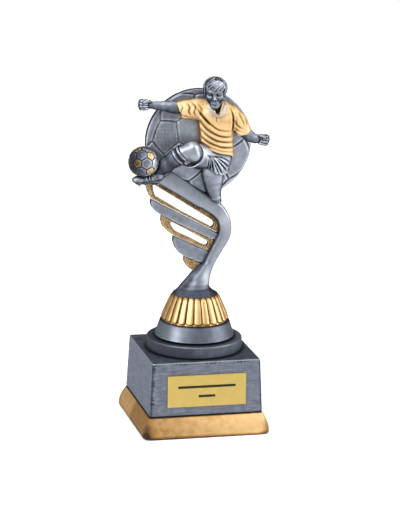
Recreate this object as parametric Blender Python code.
"""Football figure trophy: a relief player and ball on a winged stem, bolted to a domed foot and a square block.

Metres, +Z up, front towards -Y. The origin is the centre of the felt underside, on the tie rod's axis.
Lengths below are written in millimetres and turned into metres where a mesh is made.
"""

import math

import bmesh
import bpy
from mathutils import Matrix, Vector

MM = 0.001
GAP = 0.3  # clearance between a piece and the neighbour that it is bonded to
FINE_GAP = 0.05  # clearance between the flat layers of the name plate

# Driving dimensions of the base, from the table upwards
FELT_HALF, FELT_THICK = 36.0, 1.2
PLINTH_FOOT_HALF, PLINTH_TOP_HALF = 40.4, 36.1
PLINTH_LOW, PLINTH_TOP = 0.5, 13.4
BLOCK_FOOT_HALF, BLOCK_TOP_HALF = 35.9, 34.4
BLOCK_LOW, BLOCK_TOP = PLINTH_TOP + GAP, 47.7
FLANGE_RADIUS, FLANGE_THICK = 30.1, 7.4
SKIRT_RADIUS, SKIRT_NECK = 25.0, 23.0
CROWN_LOW, CROWN_TOP = 66.4, 82.7
FLUTES = 24
FLUTE_DEPTH = 0.9
FOOT_RADIUS = 14.6  # where the stem stands on the crown

# Fasteners
ROD_RADIUS, ROD_BORE = 2.5, 2.9
ROD_LOW, ROD_TOP = 3.0, 88.0
WELL_RADIUS, WELL_ROOF = 9.0, 10.0  # the counterbore that holds the nut
WASHER_RADIUS, WASHER_THICK = 7.5, 1.0
NUT_FLAT, NUT_THICK = 4.0, 4.0

# Name plate, 50 x 20 mm
PLATE_HALF_WIDTH, PLATE_HALF_HEIGHT, PLATE_THICK = 25.0, 10.0, 0.6
TAPE_INSET, TAPE_THICK = 1.0, 0.2
PLATE_HEIGHT = 29.6  # of the plate's centre above the table

# Backing disc
DISC_CENTRE = (0.0, 0.0, 179.6)
DISC_RADIUS, DISC_RIM, DISC_CROWN, DISC_BACK = 33.5, 2.4, 4.0, 2.0

# Match ball
BALL_CENTRE, BALL_RADIUS = (-37.8, -15.0, 171.1), 9.45

AROUND = 40  # sides of a turned piece
LIMB_SIDES = 20
Y_AXIS = Vector((0, 1, 0))

SILVER = ("antique_silver", (0.33, 0.35, 0.39), 0.35, 0.9)
GOLD = ("antique_gold", (0.80, 0.56, 0.26), 0.38, 0.9)
BRIGHT_GOLD = ("plate_gold", (0.86, 0.70, 0.30), 0.25, 0.95)
STEEL = ("zinc_steel", (0.62, 0.63, 0.64), 0.35, 1.0)
FELT = ("felt", (0.03, 0.05, 0.04), 0.95, 0.0)
TAPE = ("tape", (0.75, 0.74, 0.70), 0.8, 0.0)


def material(finish):
    """The Principled material of a finish, made once."""
    name, colour, roughness, metallic = finish
    made = bpy.data.materials.get(name)
    if made is None:
        made = bpy.data.materials.new(name)
        made.use_nodes = True
        shader = made.node_tree.nodes["Principled BSDF"]
        shader.inputs["Base Color"].default_value = (*colour, 1)
        shader.inputs["Roughness"].default_value = roughness
        shader.inputs["Metallic"].default_value = metallic
    return made


def place(name, bm, finish=None):
    """A mesh object from bm. Without a finish it is a cutter, which is drawn as wire and isn't a part."""
    bmesh.ops.recalc_face_normals(bm, faces=bm.faces)
    mesh = bpy.data.meshes.new(name)
    bm.to_mesh(mesh)
    bm.free()
    made = bpy.data.objects.new(name, mesh)
    bpy.context.scene.collection.objects.link(made)
    if finish is None:
        made.hide_render = True
        made.display_type = "WIRE"
    else:
        mesh.materials.append(material(finish))
        mesh.shade_smooth()
        mesh.set_sharp_from_angle(angle=math.radians(35))
    return made


def skin(name, rings, finish=None, closed=False):
    """A surface through rings of equally many points in mm: capped at both ends, or closed round on itself."""
    bm = bmesh.new()
    made = [[bm.verts.new(Vector(point) * MM) for point in ring] for ring in rings]
    sides = len(made[0])
    pairs = list(zip(made, made[1:] + made[:1])) if closed else list(zip(made, made[1:]))
    for low, high in pairs:
        for i in range(sides):
            j = (i + 1) % sides
            bm.faces.new((low[i], low[j], high[j], high[i]))
    if not closed:
        bm.faces.new(made[0])
        bm.faces.new(made[-1])
    return place(name, bm, finish)


def circle(radius, z, sides=AROUND):
    """A level ring; radius is a number, or a function of the angle."""
    reach = radius if callable(radius) else (lambda angle: radius)
    angles = [math.tau * i / sides for i in range(sides)]
    return [(reach(a) * math.cos(a), reach(a) * math.sin(a), z) for a in angles]


def rounded_square(half, z, corner=2.0, steps=3):
    """A level square ring with rounded corners."""
    ring = []
    for quarter in range(4):
        middle = math.pi / 4 + quarter * math.pi / 2
        cx = math.copysign(half - corner, math.cos(middle))
        cy = math.copysign(half - corner, math.sin(middle))
        for step in range(steps + 1):
            angle = middle - math.pi / 4 + step * math.pi / 2 / steps
            ring.append((cx + corner * math.cos(angle), cy + corner * math.sin(angle), z))
    return ring


def cut(piece, cutter):
    """Takes cutter away from piece."""
    modifier = piece.modifiers.new("cut_" + cutter.name, "BOOLEAN")
    modifier.operation = "DIFFERENCE"
    modifier.object = cutter


def join(piece, other):
    """Adds other, which isn't a part of its own, to piece."""
    modifier = piece.modifiers.new("join_" + other.name, "BOOLEAN")
    modifier.operation = "UNION"
    modifier.object = other


def bore(piece, radius, low, high):
    """A round hole on the tie rod's axis."""
    cut(piece, skin(f"{piece.name}_bore_{low:.0f}", [circle(radius, low, 24), circle(radius, high, 24)]))


# ---------------------------------------------------------------- base


def dome_radius(z):
    """The outer curve of the skirt and the crown: a shallow parabola above the skirt's lip."""
    t = z - CROWN_LOW + 10.2
    return SKIRT_RADIUS - 0.279 * t - 0.0041 * t * t


def build_felt():
    rings = [rounded_square(FELT_HALF, z, 3.0) for z in (0.0, FELT_THICK)]
    skin("felt_pad", rings, FELT)


def build_plinth():
    """The gold moulding: a sloping, slightly rounded skirt with a recess for the felt and a well for the nut."""
    steps = 7
    low = PLINTH_LOW + 2.3
    rings = [rounded_square(PLINTH_FOOT_HALF - 0.5, PLINTH_LOW, 2.6)]
    rings.append(rounded_square(PLINTH_FOOT_HALF, PLINTH_LOW + 0.6, 2.4))
    for i in range(steps + 1):
        rise = i / steps
        half = PLINTH_FOOT_HALF - (PLINTH_FOOT_HALF - PLINTH_TOP_HALF) * rise ** 1.35
        rings.append(rounded_square(half, low + (PLINTH_TOP - low) * rise, 2.4 - 1.2 * rise))
    plinth = skin("plinth", rings, GOLD)
    recess = [rounded_square(FELT_HALF + GAP, z, 3.0) for z in (-1.0, FELT_THICK + GAP)]
    cut(plinth, skin("felt_recess", recess))
    bore(plinth, WELL_RADIUS, 0.0, WELL_ROOF)
    bore(plinth, ROD_BORE, 5.0, PLINTH_TOP + 1.0)


def block_half(z):
    """Half the block's width at height z: it tapers towards the top."""
    share = (z - BLOCK_LOW) / (BLOCK_TOP - BLOCK_LOW)
    return BLOCK_FOOT_HALF + (BLOCK_TOP_HALF - BLOCK_FOOT_HALF) * share


def build_block():
    """The silver block: a solid tapered casting with a hole for the tie rod."""
    ease = 0.8
    rings = [rounded_square(block_half(z), z, 1.2) for z in (BLOCK_LOW, BLOCK_TOP - ease)]
    rings.append(rounded_square(BLOCK_TOP_HALF - ease, BLOCK_TOP, 1.2))
    block = skin("block", rings, SILVER)
    bore(block, ROD_BORE, BLOCK_LOW - 1.0, BLOCK_TOP + 1.0)


def build_name_plate():
    """The plate and its adhesive tape, square to the block's leaning front."""
    lean = math.atan((BLOCK_FOOT_HALF - BLOCK_TOP_HALF) / (BLOCK_TOP - BLOCK_LOW))
    on_face = Vector((0, -block_half(PLATE_HEIGHT), PLATE_HEIGHT)) * MM
    tape_size = (PLATE_HALF_WIDTH - TAPE_INSET, PLATE_HALF_HEIGHT - TAPE_INSET)
    layers = (
        ("plate_tape", tape_size, FINE_GAP, TAPE_THICK, TAPE),
        ("name_plate", (PLATE_HALF_WIDTH, PLATE_HALF_HEIGHT), 2 * FINE_GAP + TAPE_THICK, PLATE_THICK, BRIGHT_GOLD),
    )
    for name, (half_width, half_height), off, thick, finish in layers:
        rings = [
            [(x, y, z) for x, z in ((-half_width, -half_height), (half_width, -half_height),
                                    (half_width, half_height), (-half_width, half_height))]
            for y in (-off, -off - thick)
        ]
        layer = skin(name, rings, finish)
        layer.matrix_world = Matrix.Translation(on_face) @ Matrix.Rotation(-lean, 4, "X")


def turned(name, profile, finish, sides=AROUND):
    """A ring-shaped turned piece; profile is a closed loop of (radius, height)."""
    return skin(name, [circle(r, z, sides) for r, z in profile], finish, closed=True)


def build_foot():
    """The round flange, the plain skirt of the dome and its fluted crown."""
    low = BLOCK_TOP + GAP
    top = low + FLANGE_THICK
    edge = 0.8
    turned("flange", [
        (ROD_BORE, low), (FLANGE_RADIUS - edge, low), (FLANGE_RADIUS, low + edge),
        (FLANGE_RADIUS, top - edge), (FLANGE_RADIUS - edge, top), (ROD_BORE, top),
    ], SILVER)
    low = top + GAP
    lip = low + 0.9
    heights = [lip + 0.4 + (CROWN_LOW - GAP - lip - 0.4) * i / 4 for i in range(5)]
    outside = [(dome_radius(z), z) for z in heights]
    turned("dome_skirt", [(ROD_BORE, low), (SKIRT_NECK, low), (SKIRT_NECK, lip), (SKIRT_RADIUS - 0.4, lip),
                          *outside, (ROD_BORE, CROWN_LOW - GAP)], SILVER)
    fluted = 4 * FLUTES
    heights = [CROWN_LOW + (CROWN_TOP - CROWN_LOW) * i / 4 for i in range(5)]
    rings = [circle(ROD_BORE, CROWN_LOW, fluted)]
    for z in heights:
        rings.append(circle(lambda a, z=z: flute_radius(a, z), z, fluted))
    rings.append(circle(ROD_BORE, CROWN_TOP, fluted))
    skin("fluted_crown", rings, GOLD, closed=True)


def flute_radius(angle, z):
    """The crown is reeded: round ribs that meet in sharp grooves."""
    rib = abs(math.sin(angle * FLUTES / 2))
    return dome_radius(z) - 0.25 - FLUTE_DEPTH * (1 - rib)


def build_fasteners():
    """The tie rod through the whole base, with its washer and nut in the plinth's well."""
    chamfer = 0.5
    skin("tie_rod", [circle(ROD_RADIUS - chamfer, ROD_LOW, 24), circle(ROD_RADIUS, ROD_LOW + chamfer, 24),
                     circle(ROD_RADIUS, ROD_TOP - chamfer, 24), circle(ROD_RADIUS - chamfer, ROD_TOP, 24)], STEEL)
    washer_top = WELL_ROOF - GAP
    washer_low = washer_top - WASHER_THICK
    turned("washer", [(ROD_BORE, washer_low), (WASHER_RADIUS, washer_low),
                      (WASHER_RADIUS, washer_top), (ROD_BORE, washer_top)], STEEL, 24)
    nut_top = washer_low - GAP
    flats = math.pi / 3

    def hexagon(angle):
        return NUT_FLAT / math.cos((angle + flats / 2) % flats - flats / 2)

    skin("hex_nut", [circle(radius, z, 24) for radius, z in (
        (ROD_BORE, nut_top - NUT_THICK), (hexagon, nut_top - NUT_THICK), (hexagon, nut_top), (ROD_BORE, nut_top),
    )], STEEL, closed=True)


# ---------------------------------------------------------------- lofted forms


def loft_rings(stations, grow=0.0, level=False, square=2.0, sides=LIMB_SIDES):
    """Rings across a path. A station is (x, y, z, half width, half depth); level keeps every ring horizontal.

    square is the ring's superellipse power: 2 is an ellipse, and more is nearer to a rectangle.
    """
    points = [Vector(station[:3]) for station in stations]
    last = len(points) - 1
    rings = []
    for i, station in enumerate(stations):
        along = (points[min(i + 1, last)] - points[max(i - 1, 0)]).normalized()
        if level:
            along = Vector((0, 0, 1))
        centre = points[i]
        if i == 0:
            centre = centre - along * grow
        if i == last:
            centre = centre + along * grow
        depth_way = (Y_AXIS - along * along.dot(Y_AXIS)).normalized()
        side_way = depth_way.cross(along)
        width, depth = station[3] + grow, station[4] + grow
        ring = []
        for step in range(sides):
            angle = math.tau * step / sides
            c, s = math.cos(angle), math.sin(angle)
            across = math.copysign(abs(c) ** (2 / square), c) * width
            through = math.copysign(abs(s) ** (2 / square), s) * depth
            ring.append(centre + side_way * across + depth_way * through)
        rings.append(ring)
    return rings


class Form:
    """A sculpted form: one or more lofts that make one solid, and that can be built larger as cutters."""

    def __init__(self, name, *lofts):
        self.name = name
        self.lofts = [loft if isinstance(loft, dict) else {"stations": loft} for loft in lofts]

    def solid(self, finish, *neighbours):
        """The part itself, cut back from neighbours that are already whole."""
        body = skin(self.name, loft_rings(**self.lofts[0]), finish)
        for i, loft in enumerate(self.lofts[1:], 2):
            join(body, skin(f"{self.name}_{i}", loft_rings(**loft)))
        for neighbour in neighbours:
            for cutter in neighbour.cutters():
                cut(body, cutter)
        return body

    def cutters(self):
        """The form grown by the bonding gap, made once."""
        if not hasattr(self, "grown"):
            self.grown = [
                skin(f"{self.name}_clear_{i}", loft_rings(grow=GAP, **loft)) for i, loft in enumerate(self.lofts, 1)
            ]
        return self.grown


class Disc(Form):
    """The backing disc: a lens with a thick rim, more domed in front than behind."""

    def __init__(self):
        super().__init__("backing_disc")

    def rings(self, grow):
        cx, cy, cz = DISC_CENTRE
        sides = 48
        shares = (0.25, 0.5, 0.75, 0.92)
        profile = [(s, -DISC_RIM - DISC_CROWN * (1 - s * s) - grow) for s in shares]
        profile += [(1.0, -DISC_RIM - grow), (1.0, DISC_RIM + grow)]
        profile += [(s, DISC_RIM + DISC_BACK * (1 - s * s) + grow) for s in reversed(shares)]
        rings = []
        for share, y in profile:
            radius = DISC_RADIUS * share + (grow if share == 1.0 else 0.0)
            angles = [math.tau * i / sides for i in range(sides)]
            rings.append([(cx + radius * math.cos(a), cy + y, cz + radius * math.sin(a)) for a in angles])
        return rings

    def solid(self, finish, *neighbours):
        body = skin(self.name, self.rings(0.0), finish)
        for neighbour in neighbours:
            for cutter in neighbour.cutters():
                cut(body, cutter)
        return body

    def cutters(self):
        if not hasattr(self, "grown"):
            self.grown = [skin("backing_disc_clear", self.rings(GAP))]
        return self.grown


class Ball(Form):
    """The match ball."""

    def __init__(self):
        super().__init__("match_ball")

    def made(self, name, radius, finish=None):
        bm = bmesh.new()
        centre = Matrix.Translation(Vector(BALL_CENTRE) * MM)
        bmesh.ops.create_icosphere(bm, subdivisions=3, radius=radius * MM, matrix=centre)
        return place(name, bm, finish)

    def solid(self, finish, *neighbours):
        return self.made("match_ball", BALL_RADIUS, finish)

    def cutters(self):
        if not hasattr(self, "grown"):
            self.grown = [self.made("match_ball_clear", BALL_RADIUS + 1.5 * GAP)]
        return self.grown


# ---------------------------------------------------------------- stem and wing

STEM_DEPTH, STEM_Y = 4.7, -0.8
# The ribbon's centre line in x and z with its half width, from the tip beside the boot down to the foot
RIBBON = ((-21.8, 159.2, 5.8), (-10.3, 151.6, 5.3), (-0.3, 144.8, 5.0), (6.6, 140.8, 4.8), (12.8, 136.2, 4.5),
          (16.4, 131.4, 4.0), (17.9, 125.3, 3.9), (17.1, 119.8, 3.9), (13.8, 113.7, 3.7), (10.0, 106.8, 3.4),
          (7.1, 101.5, 3.4), (4.5, 96.2, 3.9))
# The flared foot: height, centre x, half width, half depth
FLARE = ((83.0, 0.0, FOOT_RADIUS, FOOT_RADIUS), (84.3, -0.6, 12.8, 11.5), (86.0, -1.0, 11.0, 9.0),
         (88.5, -0.9, 9.2, 6.8), (92.0, 0.5, 7.5, 5.4), (97.5, 3.3, 5.7, 4.6))

STEM = Form(
    "stem",
    {"stations": [(x, STEM_Y, z, w, STEM_DEPTH) for x, z, w in RIBBON], "square": 3.2, "sides": 24},
    {"stations": [(x, STEM_Y * min(1.0, (z - 83.0) / 6), z, w, d) for z, x, w, d in FLARE], "level": True,
     "sides": 40},
)

# Wing plates, as (x, z) outlines that run on under the ribbon, which then trims them
LEAF_HALF, FRAME_HALF = 2.6, 2.1  # half thickness of the silver feathers and of the gold frames
UPPER_FRAME = ((-24.8, 156.0), (-31.2, 155.6), (-32.7, 153.6), (-32.4, 150.6), (-31.2, 147.9), (-29.6, 144.9),
               (14.1, 121.0), (17.5, 122.5), (15.5, 130.5), (8.0, 136.2),
               (-2.0, 141.1), (-12.0, 147.0))
UPPER_SLOT = ((-28.6, 153.6), (-27.6, 147.0), (10.0, 125.7), (11.3, 125.6), (11.6, 128.0), (10.6, 130.2),
              (8.2, 131.6))
UPPER_FEATHER = ((-29.6, 144.9), (-30.1, 142.8), (-29.2, 139.8), (-27.0, 136.8), (-23.3, 134.2), (12.7, 116.3),
                 (16.0, 117.0), (17.0, 121.6), (14.1, 121.0))
LOWER_FRAME = ((-23.2, 133.9), (-23.4, 130.5), (-21.9, 126.6), (-18.6, 123.3), (-15.0, 120.6), (8.8, 109.4),
               (12.0, 111.0), (15.5, 116.0), (12.7, 116.3))
LOWER_SLOT = ((-18.2, 129.7), (-16.8, 125.8), (-14.8, 123.8), (5.8, 113.7), (7.3, 113.9), (8.0, 115.8),
              (7.2, 117.7))
LOWER_FEATHER = ((-15.0, 120.6), (-15.3, 117.0), (-13.9, 113.0), (-11.3, 109.6), (-8.0, 107.3), (2.7, 102.5),
                 (5.5, 102.0), (11.5, 110.0), (8.8, 109.4))
WING_TIP = ((-8.0, 107.0), (-8.0, 104.2), (-6.4, 101.0), (-3.9, 98.5), (-1.4, 96.9), (1.5, 96.5), (5.0, 101.6),
            (2.7, 102.2))


def plate(name, outline, half, finish, slot=None):
    """A flat casting between y = -half and half, with eased edges: a filled curve, made into a mesh."""
    ease = 0.4
    curve = bpy.data.curves.new(name + "_outline", "CURVE")
    curve.dimensions = "2D"
    curve.fill_mode = "BOTH"
    curve.extrude = (half - ease) * MM
    curve.bevel_depth = ease * MM
    curve.bevel_resolution = 0
    curve.offset = -(ease + GAP / 2) * MM
    for points in (outline, slot) if slot else (outline,):
        spline = curve.splines.new("POLY")
        spline.points.add(len(points) - 1)
        for point, (x, z) in zip(spline.points, points):
            point.co = (x * MM, z * MM, 0, 1)
        spline.use_cyclic_u = True
    drawn = bpy.data.objects.new(name + "_drawn", curve)
    bpy.context.scene.collection.objects.link(drawn)
    bpy.context.view_layer.update()
    bm = bmesh.new()
    bm.from_mesh(drawn.evaluated_get(bpy.context.evaluated_depsgraph_get()).to_mesh())
    bpy.data.objects.remove(drawn)
    bmesh.ops.remove_doubles(bm, verts=bm.verts, dist=0.001 * MM)
    bmesh.ops.rotate(bm, verts=bm.verts, matrix=Matrix.Rotation(math.pi / 2, 3, "X"))
    made = place(name, bm, finish)
    for cutter in STEM.cutters():
        cut(made, cutter)


def build_wing():
    plate("upper_frame", UPPER_FRAME, FRAME_HALF, GOLD, UPPER_SLOT)
    plate("upper_feather", UPPER_FEATHER, LEAF_HALF, SILVER)
    plate("lower_frame", LOWER_FRAME, FRAME_HALF, GOLD, LOWER_SLOT)
    plate("lower_feather", LOWER_FEATHER, LEAF_HALF, SILVER)
    plate("wing_tip", WING_TIP, FRAME_HALF, GOLD)


# ---------------------------------------------------------------- player

SHIRT = Form(
    "shirt",
    [(9.1, -10.5, 175.1, 10.4, 6.8), (9.1, -10.5, 180.6, 10.6, 6.8), (8.7, -10.5, 188.6, 10.8, 7.2),
     (8.4, -10.5, 195.6, 11.2, 7.4), (8.0, -10.5, 201.1, 11.0, 6.8), (7.6, -10.5, 205.1, 8.5, 5.6),
     (7.6, -10.5, 207.4, 5.0, 4.4)],
    [(3.6, -9.5, 202.4, 5.6, 5.0), (-4.4, -9.5, 202.6, 5.8, 5.0), (-10.4, -9.5, 202.2, 5.5, 4.8),
     (-15.7, -9.5, 201.6, 5.1, 4.6)],
    [(13.5, -10.0, 200.0, 5.2, 5.0), (19.5, -10.0, 198.0, 5.3, 5.0), (24.0, -10.0, 193.5, 5.1, 4.8),
     (27.6, -10.5, 187.6, 4.7, 4.5)],
)
SHORTS = Form(
    "shorts",
    [(9.4, -9.6, 178.0, 9.6, 6.2), (9.8, -9.5, 172.4, 9.6, 6.4), (10.0, -9.3, 167.4, 8.6, 6.4),
     (9.2, -9.0, 162.4, 7.4, 6.4)],
    [(5.7, -9.0, 171.3, 7.0, 7.0), (-1.6, -12.5, 173.2, 8.2, 7.6), (-8.0, -15.6, 174.4, 8.2, 7.8)],
)
HEAD = Form(
    "head",
    {"stations": [(8.0, -14.5, 203.6, 2.8, 3.8), (7.8, -13.7, 206.6, 5.0, 5.8), (7.2, -13.0, 211.3, 6.2, 6.8),
                  (6.7, -12.6, 215.3, 6.4, 7.0), (6.5, -12.2, 218.6, 4.9, 5.4), (6.4, -12.0, 220.4, 2.4, 2.8)],
     "level": True},
    {"stations": [(8.5, -10.5, 200.0, 4.0, 4.0), (8.0, -11.2, 208.0, 4.0, 4.0)], "level": True},
)
HAIR = Form(
    "hair",
    {"stations": [(6.9, -8.7, 207.3, 5.4, 4.0), (6.9, -9.6, 210.8, 7.3, 6.0), (6.8, -10.9, 214.3, 7.7, 8.0),
                  (6.6, -11.8, 217.4, 7.3, 8.0), (6.5, -12.0, 220.2, 5.4, 6.2), (6.4, -12.0, 222.0, 2.8, 3.2)],
     "level": True, "sides": 22},
)
RIGHT_FOREARM = Form("right_forearm", [
    (-12.3, -9.2, 203.1, 3.2, 3.0), (-16.2, -9.2, 203.4, 3.2, 3.0), (-22.2, -8.8, 204.2, 3.0, 2.8),
    (-28.1, -8.4, 204.7, 2.3, 2.2), (-31.7, -8.2, 204.8, 2.0, 2.2)])
RIGHT_FIST = Form("right_fist", [
    (-31.3, -8.2, 204.7, 2.3, 2.5), (-34.0, -8.2, 205.0, 3.2, 3.4), (-37.3, -8.2, 205.0, 3.7, 3.8),
    (-39.4, -8.2, 205.0, 3.0, 3.2), (-40.3, -8.2, 205.0, 1.6, 1.8)])
LEFT_FOREARM = Form("left_forearm", [
    (25.0, -10.0, 190.5, 3.4, 3.2), (27.7, -11.0, 186.8, 3.4, 3.2), (30.2, -12.5, 184.4, 3.1, 2.9),
    (32.3, -14.0, 183.3, 2.7, 2.6)])
LEFT_FIST = Form("left_fist", [
    (32.0, -13.8, 183.4, 2.9, 2.8), (34.7, -15.0, 183.8, 3.8, 3.6), (37.9, -15.5, 183.7, 3.9, 3.8),
    (40.0, -16.0, 183.0, 2.8, 3.0), (41.0, -16.0, 182.6, 1.4, 1.6)])
KICKING_THIGH = Form(
    "kicking_thigh",
    [(-2.8, -12.5, 173.9, 6.2, 6.2), (-6.3, -17.0, 176.0, 6.2, 6.2), (-7.9, -20.8, 177.3, 5.6, 5.7),
     (-8.2, -24.0, 177.5, 3.2, 3.2)],
    [(-7.4, -19.8, 179.3, 5.0, 4.4), (-10.6, -19.7, 178.6, 5.2, 4.9), (-13.6, -19.3, 177.2, 5.1, 4.9)],
)
KICKING_SOCK = Form("kicking_sock", [
    (-14.0, -19.1, 176.9, 5.1, 4.9), (-18.2, -17.2, 173.2, 5.0, 4.8), (-23.6, -14.1, 168.3, 4.6, 4.4),
    (-27.9, -12.2, 164.3, 3.7, 3.7)])
KICKING_BOOT = Form("kicking_boot", [
    (-24.6, -11.0, 163.4, 2.4, 2.8), (-26.6, -11.8, 162.2, 3.4, 3.6), (-30.1, -12.5, 161.2, 3.6, 3.8),
    (-36.0, -14.0, 160.2, 3.2, 3.8), (-41.4, -15.5, 160.3, 2.6, 3.4), (-44.0, -16.2, 160.8, 1.3, 1.8)])
STANDING_LEG = Form("standing_leg", [
    (7.8, -8.0, 164.5, 6.3, 5.8), (8.2, -7.5, 158.4, 6.1, 5.7), (9.0, -5.8, 152.9, 5.1, 4.8),
    (10.0, -4.2, 148.6, 3.9, 3.8)])
STANDING_SOCK = Form("standing_sock", [
    (10.2, -4.0, 148.1, 3.7, 3.6), (11.4, -2.8, 144.8, 3.3, 3.2), (12.5, -1.5, 141.5, 3.0, 3.0)])
RIGHT_COLLAR = Form("right_collar", [
    (2.6, -12.6, 206.8, 1.6, 1.4), (4.4, -15.6, 203.0, 2.2, 1.5), (6.0, -17.0, 200.4, 2.2, 1.5),
    (7.9, -17.6, 198.2, 1.2, 1.2)])
LEFT_COLLAR = Form("left_collar", [
    (13.4, -12.6, 206.6, 1.6, 1.4), (12.2, -15.6, 203.0, 2.2, 1.5), (11.0, -17.0, 200.4, 2.2, 1.5),
    (9.5, -17.6, 198.0, 1.2, 1.2)])


def build_player(disc, ball):
    """The figure, from the disc forwards. Each piece is trimmed by the ones that it is bonded to."""
    SHIRT.solid(GOLD, disc)
    SHORTS.solid(SILVER, disc, SHIRT)
    HEAD.solid(SILVER, SHIRT, disc)
    HAIR.solid(SILVER, HEAD, SHIRT, disc)
    RIGHT_COLLAR.solid(SILVER, SHIRT, HEAD, HAIR)
    LEFT_COLLAR.solid(SILVER, SHIRT, HEAD, HAIR, RIGHT_COLLAR)
    RIGHT_FOREARM.solid(SILVER, SHIRT, disc)
    RIGHT_FIST.solid(SILVER, RIGHT_FOREARM)
    LEFT_FOREARM.solid(SILVER, SHIRT)
    LEFT_FIST.solid(SILVER, LEFT_FOREARM)
    KICKING_THIGH.solid(SILVER, SHORTS, SHIRT, disc)
    KICKING_SOCK.solid(SILVER, KICKING_THIGH, ball, SHORTS)
    KICKING_BOOT.solid(SILVER, KICKING_SOCK, ball)
    STANDING_LEG.solid(SILVER, SHORTS, disc, STEM)
    STANDING_SOCK.solid(SILVER, disc, STEM)


def main():
    for existing in list(bpy.data.objects):
        bpy.data.objects.remove(existing)
    build_felt()
    build_plinth()
    build_block()
    build_name_plate()
    build_foot()
    build_fasteners()
    stem = STEM.solid(SILVER)
    bore(stem, ROD_BORE, 80.0, ROD_TOP + 1.0)
    build_wing()
    disc = Disc()
    disc.solid(SILVER, STEM)
    ball = Ball()
    ball.solid(SILVER)
    build_player(disc, ball)


main()
